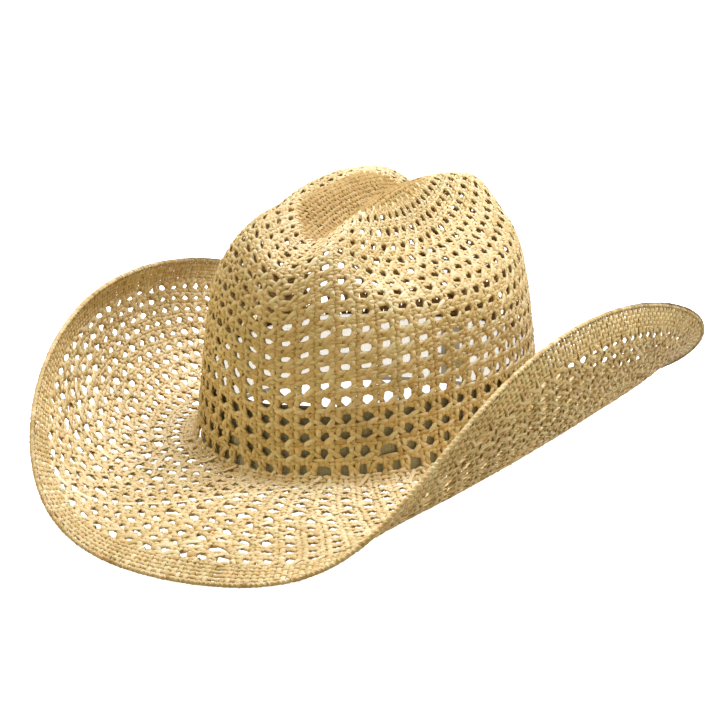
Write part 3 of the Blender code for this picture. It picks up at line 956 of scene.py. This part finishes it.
def make_edge(surface, straws):
    """The straw turned slantwise over the rim, one short wrap after another."""
    wraps = []
    for number in range(EDGE_WRAPS):
        steps = np.linspace(-1.0, 1.0, 13)
        middle_turn = (number + RANDOM.uniform(-EDGE_TURN_JITTER, EDGE_TURN_JITTER)) / EDGE_WRAPS
        turns = middle_turn + 0.5 * EDGE_SLANT * steps / EDGE_WRAPS
        middle, out, up = edge_frame(surface, turns)
        angle = -EDGE_WRAP * steps[:, None]
        radial = np.cos(angle) * out + np.sin(angle) * up
        radius = EDGE_RADIUS - EDGE_SUNK + RANDOM.normal(0.0, EDGE_JITTER)
        radius = radius - EDGE_TUCK * np.abs(steps[:, None]) ** 4
        wraps.append(Strand(middle + radial * radius, radial, EDGE_WRAP_WIDTH, EDGE_WRAP_THICKNESS,
                            tone=RANDOM.normal(*EDGE_TONE), unevenness=EDGE_UNEVENNESS))
    place_strands("edge_wraps", wraps, straws["edge"], "edge_straw", "brim_edge", 60)


# ---------------------------------------------------------------- the sweatband

def inside_wall(angles, heights, depths):
    """Points inside the crown's wall: a height above the break and a depth in from the straw's face."""
    angles, heights, depths = np.broadcast_arrays(angles, heights, depths)
    points, inward = np.empty((len(angles), 3)), np.empty((len(angles), 3))
    for number, (angle, height, depth) in enumerate(zip(angles, heights, depths)):
        wall = crown_line(angle, 60)
        point, above = places_on(wall, [max(height, 0.0), max(height, 0.0) + 0.004])
        climb = (above - point) / np.linalg.norm(above - point)
        point = point + climb * min(height, 0.0)
        out = np.cross(climb, np.cross(outward(angle), climb))
        out *= np.sign(out @ outward(angle)) / np.linalg.norm(out)
        points[number] = point - depth * out
        inward[number] = -out
    return points, inward


def grid_mesh(name, grid, wrap_rows, wrap_columns, uv_size):
    """A smooth mesh over a grid of points, with UVs in metres."""
    rows, columns = grid.shape[:2]
    row_spans = rows if wrap_rows else rows - 1
    column_spans = columns if wrap_columns else columns - 1
    row, column = np.arange(row_spans)[:, None], np.arange(column_spans)[None, :]
    below, beside = (row + 1) % rows, (column + 1) % columns
    quads = np.stack([row * columns + column, below * columns + column, below * columns + beside,
                      row * columns + beside], axis=-1).reshape(-1, 4)
    mesh = bpy.data.meshes.new(name)
    mesh.from_pydata(grid.reshape(-1, 3).tolist(), [], quads.tolist())
    mesh.shade_smooth()
    corner_rows = np.stack([row + 0 * column, row + 1 + 0 * column, row + 1 + 0 * column, row + 0 * column],
                           axis=-1)
    corner_columns = np.stack([column + 0 * row, column + 0 * row, column + 1 + 0 * row,
                               column + 1 + 0 * row], axis=-1)
    uv = np.stack([corner_columns / column_spans * uv_size[0],
                   corner_rows / row_spans * uv_size[1]], axis=-1)
    layer = mesh.uv_layers.new(name="Cloth")
    layer.uv.foreach_set("vector", uv.astype("f").ravel())
    layer = mesh.uv_layers.new(name="OFBake")
    layer.uv.foreach_set("vector", (uv / np.array(uv_size)).astype("f").ravel())
    return mesh


class InsideWall:
    """The inside of the crown's wall near its foot, read by angle, height and depth."""

    def __init__(self, columns=240):
        self.angles = np.arange(columns) * 2 * math.pi / columns
        self.heights = np.linspace(-0.004, 0.042, 24)
        self.points = np.empty((len(self.heights), columns, 3))
        self.ways = np.empty_like(self.points)
        for number, height in enumerate(self.heights):
            self.points[number], self.ways[number] = inside_wall(self.angles, height, 0.0)

    def read(self, angles, heights, depths):
        """Points at angles, heights and depths, and the directions inwards there."""
        columns = len(self.angles)
        across = (np.asarray(angles) / (2 * math.pi) % 1.0) * columns
        left = np.floor(across).astype(int) % columns
        s = (across - np.floor(across))[..., None]
        rise = (np.asarray(heights) - self.heights[0]) / (self.heights[1] - self.heights[0])
        rise = np.clip(rise, 0, len(self.heights) - 1.001)
        low = np.floor(rise).astype(int)
        t = (rise - low)[..., None]
        result = []
        for table in (self.points, self.ways):
            lower = table[low, left] * (1 - s) + table[low, (left + 1) % columns] * s
            upper = table[low + 1, left] * (1 - s) + table[low + 1, (left + 1) % columns] * s
            result.append(lower * (1 - t) + upper * t)
        points, ways = result[0], unit(result[1])
        return points + ways * np.asarray(depths)[..., None], ways


def band_profile():
    """The sweatband's outline across its thickness: heights, depths, and how much its ribs stand out."""
    half = BAND_THICKNESS / 2
    heights, depths, outs = [], [], []
    for height in np.linspace(0.0, BAND_HEIGHT - half, 14):
        heights.append(height)
        depths.append(0.0)
        outs.append(-1.0)
    for turn in np.linspace(0.0, math.pi, 7)[1:-1]:
        heights.append(BAND_HEIGHT - half + half * math.sin(turn))
        depths.append(half - half * math.cos(turn))
        outs.append(-math.cos(turn))
    for height in np.linspace(BAND_HEIGHT - half, 0.0, 20):
        heights.append(height)
        near_hem = math.exp(-((height - BAND_HEIGHT + THREAD_DROP) / HEM_WIDTH) ** 2)
        depths.append(BAND_THICKNESS * (1 - HEM_DEPTH * near_hem))
        outs.append(1.0)
    return np.array(heights), np.array(depths), np.array(outs)


def make_sweatband(wall, cloths):
    """The ribbed cloth band, its hem drawn in by a line of stitches."""
    heights, depths, outs = band_profile()
    columns = CORD_RIBS * 4
    angles = np.arange(columns) * 2 * math.pi / columns
    ribs = np.sin(angles * CORD_RIBS) * CORD_HEIGHT
    waves = 0.0005 * np.sin(5 * angles + 0.6) + 0.0003 * np.sin(13 * angles)
    top_share = (heights / BAND_HEIGHT)[:, None] ** 2
    grid_heights = heights[:, None] + waves[None, :] * top_share
    grid_depths = SWEAT_DEPTH + depths[:, None] + outs[:, None] * ribs[None, :] + 0.0006 * top_share
    grid, _ = wall.read(np.broadcast_to(angles, grid_heights.shape), grid_heights, grid_depths)
    mesh = grid_mesh("sweatband_cloth", grid, True, True, (0.57, 0.075))
    attribute = mesh.attributes.new("lining", "FLOAT", "POINT")
    attribute.data.foreach_set("value", np.repeat(np.clip(outs, 0.0, 1.0), columns).astype("f"))
    place_piece("sweatband_cloth", mesh, cloths["band"], "band_cloth", "sweatband")


def round_tube(name, points, radii, sides, uv_length, twist=0.0, ridges=0, ridge_height=0.0):
    """A closed ring of round cord along points, with ridges that wind round it."""
    count = len(points)
    tangent = unit(np.roll(points, -1, axis=0) - np.roll(points, 1, axis=0))
    side = unit(np.cross(tangent, [0.0, 0.0, 1.0]))
    up = np.cross(side, tangent)
    turn = np.arange(sides) * 2 * math.pi / sides
    winding = turn[:, None] * ridges + np.arange(count)[None, :] * 2 * math.pi * twist / count
    reach = radii * (1 + ridge_height * np.cos(winding)) if ridges else radii + 0 * winding
    grid = (points[None] + side[None] * (np.cos(turn)[:, None] * reach)[..., None]
            + up[None] * (np.sin(turn)[:, None] * reach)[..., None])
    return grid_mesh(name, grid, True, True, (uv_length, 2 * math.pi * radii))


def make_reed(wall, cloths):
    """The cord piped along the band's foot, wound in cloth."""
    angles = np.arange(1100) * 2 * math.pi / 1100
    points, _ = wall.read(angles, np.zeros(1100), np.full(1100, SWEAT_DEPTH + BAND_THICKNESS / 2))
    points = points - [0.0, 0.0, REED_RADIUS + GAP]
    mesh = round_tube("sweatband_piping", points, REED_RADIUS, 16, 0.57, 190, 3, 0.07)
    place_piece("sweatband_piping", mesh, cloths["piping"], "reed_cloth", "sweatband_reed")


def make_stitches(wall, cloths):
    """The hem's stitches, each a short thread that dips into the cloth at both ends."""
    stitches = []
    base = SWEAT_DEPTH + BAND_THICKNESS * 0.72
    for number in range(STITCHES):
        steps = np.linspace(-0.5, 0.5, 9)
        angles = (number + steps * STITCH_SHARE + RANDOM.normal(0, 0.02)) * 2 * math.pi / STITCHES
        heights = BAND_HEIGHT - THREAD_DROP + steps * RANDOM.normal(0.0, 0.0003)
        rise = THREAD_RADIUS * (1.6 * np.cos(steps * math.pi) ** 0.5 - 0.3)
        points, ways = wall.read(angles, heights, base + rise)
        stitches.append(Strand(points, ways, 2 * THREAD_RADIUS, 2 * THREAD_RADIUS))
    place_strands("sweatband_stitches", stitches, cloths["thread"], "thread", "sweatband_thread", STITCHES)


def make_tape(wall, cloths):
    """The ribbon over the band's join at the back."""
    face = SWEAT_DEPTH + BAND_THICKNESS + 0.0004
    half_turn = TAPE_HALF_WIDTH / CROWN_HALF_WIDTH
    across = np.linspace(-1.0, 1.0, 41)
    heights = np.linspace(0.0012, BAND_HEIGHT - THREAD_DROP - 0.0014, 90)
    ribs = 0.00006 * np.sin(np.arange(90) * math.pi / 1.5)
    front = np.broadcast_to(math.pi + half_turn * across, (90, 41))
    climb = np.broadcast_to(heights[:, None], (90, 41))
    edge = 0.00012 * np.exp(-((np.abs(across) - 0.86) / 0.05) ** 2)
    inner, _ = wall.read(front, climb, face + 0 * front)
    outer, _ = wall.read(front, climb, face + TAPE_THICKNESS + ribs[:, None] - edge[None, :])
    grid = np.concatenate([inner, outer[:, ::-1]], axis=1)
    mesh = grid_mesh("sweatband_ribbon", grid, False, True, (0.025, 0.031))
    close_ends(mesh, grid)
    place_piece("sweatband_ribbon", mesh, cloths["tape"], "tape_cloth", "sweatband_tape")


def close_ends(mesh, grid):
    """Fill the two open ends of a flat ribbon's grid mesh."""
    rows, columns = grid.shape[:2]
    work = bmesh.new()
    work.from_mesh(mesh)
    work.verts.ensure_lookup_table()
    half = columns // 2
    for row in (0, rows - 1):
        for column in range(half - 1):
            corners = [row * columns + column, row * columns + column + 1,
                       row * columns + columns - 2 - column, row * columns + columns - 1 - column]
            work.faces.new([work.verts[corner] for corner in corners])
    bmesh.ops.recalc_face_normals(work, faces=work.faces[:])
    work.to_mesh(mesh)
    work.free()


def bow_strand(path, place, frame_axes, width):
    """One ribbon of the bow through points given across, up and out from the wall."""
    smooth = smooth_path(path, 6)
    across, up, out = frame_axes
    points = place + smooth[:, :1] * across + smooth[:, 1:2] * up + smooth[:, 2:] * out
    tangent = unit(np.gradient(points, axis=0))
    flat = np.cross(tangent, np.broadcast_to(up, tangent.shape))
    flat /= np.linalg.norm(flat, axis=1, keepdims=True) + 1e-9
    return Strand(points, flat, width, BOW_RIBBON_THICKNESS, tone=0.5)


def make_bow(wall, cloths):
    """The small ribbon bow on the tape: two loops, two tails and the knot."""
    face = SWEAT_DEPTH + BAND_THICKNESS + TAPE_THICKNESS + 0.0009
    points, ways = wall.read(np.array([math.pi]), np.array([BOW_HEIGHT]), np.array([face]))
    out = ways[0]
    across = np.array([1.0, 0.0, 0.0])
    up = np.cross(out, across)
    axes = (across, up, out)
    loop_width, tail_width, knot_width = BOW_WIDTHS
    strands = []
    for side in (-1, 1):
        for path, width in ((BOW_LOOP, loop_width), (BOW_TAIL, tail_width)):
            sided = [(side * aside, height, off) for aside, height, off in path]
            strands.append(bow_strand(sided, points[0], axes, width))
    strands.append(bow_strand(BOW_KNOT, points[0], axes, knot_width))
    place_strands("sweatband_bow_ribbon", strands, cloths["bow"], "bow_ribbon", "sweatband_bow", 10)


# ---------------------------------------------------------------- materials

def new_material(name):
    """A material with its shader and an empty place for its nodes."""
    material = bpy.data.materials.new(name)
    material.use_nodes = True
    tree = material.node_tree
    return material, tree, tree.nodes["Principled BSDF"]


def add_node(tree, kind, inputs=None, **settings):
    """A node with its settings and inputs; an input is a value or another node's output."""
    node = tree.nodes.new(kind)
    for key, value in settings.items():
        setattr(node, key, value)
    for key, value in (inputs or {}).items():
        if isinstance(value, bpy.types.NodeSocket):
            tree.links.new(value, node.inputs[key])
        else:
            node.inputs[key].default_value = value
    return node


def set_values(shader, values):
    """Set a shader's own values."""
    for key, value in values.items():
        shader.inputs[key].default_value = value


def ramp(tree, factor, stops):
    """A colour ramp's colour output."""
    node = add_node(tree, "ShaderNodeValToRGB", {"Fac": factor})
    elements = node.color_ramp.elements
    while len(elements) < len(stops):
        elements.new(0.5)
    for element, (place, color) in zip(elements, stops):
        element.position = place
        element.color = (*color, 1.0)
    return node.outputs["Color"]


def mixed(tree, blend, factor, first, second):
    """Two colours mixed."""
    node = add_node(tree, "ShaderNodeMix", data_type="RGBA", blend_type=blend)
    for socket, value in ((node.inputs[0], factor), (node.inputs[6], first), (node.inputs[7], second)):
        if isinstance(value, bpy.types.NodeSocket):
            tree.links.new(value, socket)
        elif socket.type == "RGBA":
            socket.default_value = (*value, 1.0)
        else:
            socket.default_value = value
    return node.outputs[2]


def noise(tree, vector, scale, detail=3.0, roughness=0.55):
    """A noise pattern's value."""
    return add_node(tree, "ShaderNodeTexNoise", {"Vector": vector, "Scale": scale, "Detail": detail,
                                                 "Roughness": roughness}).outputs["Fac"]


def scaled(tree, vector, scale):
    """A vector stretched along its axes."""
    node = add_node(tree, "ShaderNodeVectorMath", {0: vector, 1: scale}, operation="MULTIPLY")
    return node.outputs["Vector"]


def straw_material(name, tint, inside_shade=(1.0, 1.0, 1.0)):
    """Dried palm straw: every strand its own tone, with fibres along it, stains and small flecks, and the
    inside shade painted on its inner face.
    """
    material, tree, shader = new_material(name)
    tone = add_node(tree, "ShaderNodeAttribute", attribute_name="tone").outputs["Fac"]
    strand = add_node(tree, "ShaderNodeUVMap", uv_map="Strand").outputs["UV"]
    place = add_node(tree, "ShaderNodeTexCoord").outputs["Object"]
    own = add_node(tree, "ShaderNodeCombineXYZ", {"Z": tone}).outputs["Vector"]
    fibre_place = add_node(tree, "ShaderNodeVectorMath", {0: scaled(tree, strand, (70.0, 26.0, 1.0)),
                                                         1: scaled(tree, own, (1.0, 1.0, 60.0))},
                           operation="ADD").outputs["Vector"]
    fibres = noise(tree, fibre_place, 1.0, 4.0, 0.6)
    color = ramp(tree, tone, [(place_of, tuple(part * t for part, t in zip(shade, tint)))
                              for place_of, shade in STRAW_TONES])
    fibre_color = ramp(tree, fibres, [(0.30, (0.58, 0.47, 0.30)), (0.52, (1.0, 1.0, 1.0)),
                                      (0.75, (1.10, 1.10, 1.12))])
    color = mixed(tree, "MULTIPLY", 0.8, color, fibre_color)
    stains = ramp(tree, noise(tree, place, 26.0, 4.0), [(0.36, (0.86, 0.84, 0.76)), (0.55, (1.0, 1.0, 1.0)),
                                                        (0.72, (1.04, 1.06, 1.05))])
    color = mixed(tree, "MULTIPLY", 0.9, color, stains)
    # painted shade: the strand's inner face, towards the inside of the hat, is darkened
    around = add_node(tree, "ShaderNodeSeparateXYZ", {"Vector": strand}).outputs["Y"]
    underside = add_node(tree, "ShaderNodeMath", {0: around, 1: UNDERSIDE}, operation="GREATER_THAN")
    color = mixed(tree, "MULTIPLY", underside.outputs["Value"], color, inside_shade)
    hues = ramp(tree, noise(tree, place, 260.0, 2.0), [(0.34, (1.10, 0.93, 0.72)), (0.50, (1.0, 1.0, 1.0)),
                                                       (0.66, (0.90, 1.0, 0.80))])
    color = mixed(tree, "MULTIPLY", 0.4, color, hues)
    flecks = ramp(tree, noise(tree, place, 420.0, 2.0), [(0.66, (0.0, 0.0, 0.0)), (0.74, (1.0, 1.0, 1.0))])
    color = mixed(tree, "MIX", flecks, color, (0.34, 0.22, 0.08))
    tree.links.new(color, shader.inputs["Base Color"])
    rough = add_node(tree, "ShaderNodeMapRange", {"Value": fibres, "From Min": 0.3, "From Max": 0.7,
                                                  "To Min": 0.66, "To Max": 0.46}).outputs["Result"]
    tree.links.new(rough, shader.inputs["Roughness"])
    bump = add_node(tree, "ShaderNodeBump", {"Height": fibres, "Strength": 0.55, "Distance": 0.00022})
    tree.links.new(bump.outputs["Normal"], shader.inputs["Normal"])
    set_values(shader, {"Specular IOR Level": 0.35})
    return material


def cloth_material(name, light, dark, thread_size, roughness):
    """Woven cloth: threads both ways in its bump, with slub and uneven dye, and painted shade where the
    threads dip.
    """
    material, tree, shader = new_material(name)
    place = add_node(tree, "ShaderNodeTexCoord").outputs["Object"]
    cloth = add_node(tree, "ShaderNodeUVMap", uv_map="Cloth").outputs["UV"]
    turn = 2 * math.pi / thread_size
    threads = []
    for direction in ("X", "Y"):
        threads.append(add_node(tree, "ShaderNodeTexWave", {"Vector": cloth, "Scale": turn / 20,
                                                            "Distortion": 0.6, "Detail": 2.0},
                                bands_direction=direction).outputs["Fac"])
    weave = add_node(tree, "ShaderNodeMath", {0: threads[0], 1: threads[1]}, operation="MULTIPLY")
    dye = noise(tree, place, 60.0, 4.0)
    slub = noise(tree, scaled(tree, cloth, (300.0, 3000.0, 1.0)), 1.0, 3.0)
    color = ramp(tree, dye, [(0.3, dark), (0.7, light)])
    shade = ramp(tree, slub, [(0.3, (0.82, 0.82, 0.82)), (0.7, (1.1, 1.1, 1.1))])
    color = mixed(tree, "MULTIPLY", 0.8, color, shade)
    # painted shade: darker in the low places between the threads
    hollows = ramp(tree, weave.outputs["Value"], [(0.0, (0.62, 0.62, 0.62)), (0.4, (1.0, 1.0, 1.0))])
    color = mixed(tree, "MULTIPLY", 0.7, color, hollows)
    lining = add_node(tree, "ShaderNodeAttribute", attribute_name="lining").outputs["Fac"]
    color = mixed(tree, "MIX", lining, color, mixed(tree, "MULTIPLY", 0.5, LINING_COLOR, shade))
    tree.links.new(color, shader.inputs["Base Color"])
    glow = add_node(tree, "ShaderNodeMath", {0: lining, 1: LINING_GLOW}, operation="MULTIPLY")
    tree.links.new(color, shader.inputs["Emission Color"])
    tree.links.new(glow.outputs["Value"], shader.inputs["Emission Strength"])
    bump = add_node(tree, "ShaderNodeBump", {"Height": weave.outputs["Value"], "Strength": 0.6,
                                             "Distance": 0.00015})
    tree.links.new(bump.outputs["Normal"], shader.inputs["Normal"])
    set_values(shader, {"Roughness": roughness, "Sheen Weight": 0.25})
    return material


def wire_material():
    """Drawn steel wire, hidden in the turned edge."""
    material, tree, shader = new_material("rim_wire_steel")
    place = add_node(tree, "ShaderNodeTexCoord").outputs["Object"]
    marks = noise(tree, place, 900.0, 3.0)
    color = ramp(tree, marks, [(0.35, (0.34, 0.34, 0.35)), (0.7, (0.56, 0.56, 0.58))])
    tree.links.new(color, shader.inputs["Base Color"])
    set_values(shader, {"Metallic": 1.0})
    rough = add_node(tree, "ShaderNodeMapRange", {"Value": marks, "To Min": 0.25, "To Max": 0.5})
    tree.links.new(rough.outputs["Result"], shader.inputs["Roughness"])
    return material


# ---------------------------------------------------------------- the studio

def make_camera():
    """The camera that sees the hat from the front, a little to the wearer's left."""
    data = bpy.data.cameras.new("camera")
    data.lens = CAMERA_LENS
    data.sensor_width = 36.0
    camera = add_object("camera", data)
    camera.location = CAMERA_PLACE
    way = Vector(CAMERA_AIM) - Vector(CAMERA_PLACE)
    rotation = way.to_track_quat("-Z", "Y")
    roll = Quaternion((0.0, 0.0, 1.0), CAMERA_ROLL)
    camera.rotation_euler = (rotation @ roll).to_euler()
    bpy.context.scene.camera = camera


def make_floor():
    """A wide pale floor just under the hat."""
    size = FLOOR_SIZE
    mesh = bpy.data.meshes.new("floor")
    mesh.from_pydata([(-size, -size, 0), (size, -size, 0), (size, size, 0), (-size, size, 0)], [],
                     [(0, 1, 2, 3)])
    material, _, shader = new_material("floor_white")
    set_values(shader, {"Base Color": (0.93, 0.93, 0.93, 1.0), "Roughness": 0.9, "Specular IOR Level": 0.0,
                        "Emission Color": (1.0, 1.0, 1.0, 1.0), "Emission Strength": FLOOR_GLOW})
    mesh.materials.append(material)
    floor = add_object("floor", mesh)
    floor.location.z = -FLOOR_DROP
    floor.visible_diffuse = False        # the glowing floor doesn't light the hat


def make_light(name, place, aim, size, power, color):
    """A soft rectangular studio light."""
    data = bpy.data.lights.new(name, "AREA")
    data.shape = "SQUARE"
    data.size = size
    data.energy = power
    data.color = color
    light = add_object(name, data)
    light.location = place
    light.rotation_euler = (Vector(aim) - Vector(place)).to_track_quat("-Z", "Y").to_euler()


def make_studio():
    """The pale room and its lights."""
    scene = bpy.context.scene
    scene.view_settings.view_transform = "Standard"
    world = bpy.data.worlds.new("studio")
    world.use_nodes = True
    world.node_tree.nodes["Background"].inputs["Color"].default_value = (*WORLD_COLOR, 1.0)
    world.node_tree.nodes["Background"].inputs["Strength"].default_value = WORLD_LIGHT
    scene.world = world
    make_floor()
    for light in LIGHTS:
        make_light(*light)


def main():
    """Build everything that the camera sees."""
    surface = Surface(-1.0, RIM_ROW, 12)
    straws = {name: straw_material(f"{name}_palm_straw", tint, STRAW_INSIDE_SHADES.get(name, (1.0, 1.0, 1.0)))
              for name, tint in STRAW_TINTS.items()}
    cloths = {name: cloth_material(*values) for name, values in CLOTHS.items()}
    cloths["bow"] = straw_material("bow_satin", (1.1, 1.25, 1.6))
    cloths["thread"] = straw_material("stitch_thread", (0.95, 1.0, 1.2))
    make_camera()
    make_studio()
    make_open_weave(surface, straws)
    make_tip(surface, straws)
    make_edge(surface, straws)
    wall = InsideWall()
    make_sweatband(wall, cloths)
    make_reed(wall, cloths)
    make_stitches(wall, cloths)
    make_tape(wall, cloths)
    make_bow(wall, cloths)
    wire = frame["nodes"]["brim_wire"]
    wire.data.materials.clear()
    wire.data.materials.append(wire_material())


main()
